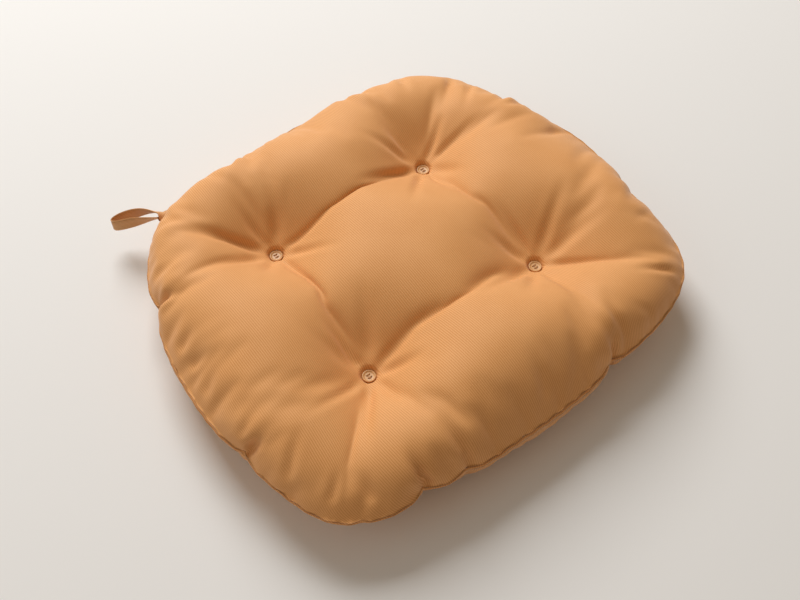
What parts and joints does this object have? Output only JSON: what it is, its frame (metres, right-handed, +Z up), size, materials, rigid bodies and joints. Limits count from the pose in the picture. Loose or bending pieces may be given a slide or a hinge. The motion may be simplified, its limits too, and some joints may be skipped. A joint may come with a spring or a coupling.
{
  "type": "chair seat pad",
  "caption": "Tufted chair seat pad: a sewn fabric case round a fibre filling, laced between pairs of buttons, with a tie loop at each rear corner.",
  "frame": {"origin": "middle of the flat underside, on the surface that the pad rests on", "axes": "+Z up through the thickness, +Y towards the chair's back, +X to the right of someone sitting on it facing away from the back"},
  "size_m": [0.432, 0.4049, 0.078],
  "materials": {
    "cover_fabric": "matte cotton twill, tan",
    "filling": "matte polyester fibre wadding",
    "strap_fabric": "matte folded cotton strip, tan",
    "button": "moulded polyester, dyed to match",
    "thread": "spun polyester thread"
  },
  "bodies": {
    "pad": {"top_cover": "cover_fabric", "bottom_cover": "cover_fabric", "fibre_filling": "filling", "seam_thread": "thread", "button_top_rear_left": "button", "button_bottom_rear_left": "button", "tuft_thread_rear_left": "thread", "button_top_rear_right": "button", "button_bottom_rear_right": "button", "tuft_thread_rear_right": "thread", "button_top_front_left": "button", "button_bottom_front_left": "button", "tuft_thread_front_left": "thread", "button_top_front_right": "button", "button_bottom_front_right": "button", "tuft_thread_front_right": "thread"},
    "loop_left": {"tie_loop_left": "strap_fabric"},
    "loop_right": {"tie_loop_right": "strap_fabric"}
  },
  "joints": [
    {"name": "loop_left_swing", "type": "hinge", "parent": "pad", "child": "loop_left", "pos_m": [-0.13718, 0.17428, 0.04], "axis": [0.8724, 0.4889, 0], "range_deg": [-50, 65]},
    {"name": "loop_right_swing", "type": "hinge", "parent": "pad", "child": "loop_right", "pos_m": [0.13718, 0.17428, 0.04], "axis": [0.8724, -0.4889, 0], "range_deg": [-35, 95]}
  ]
}
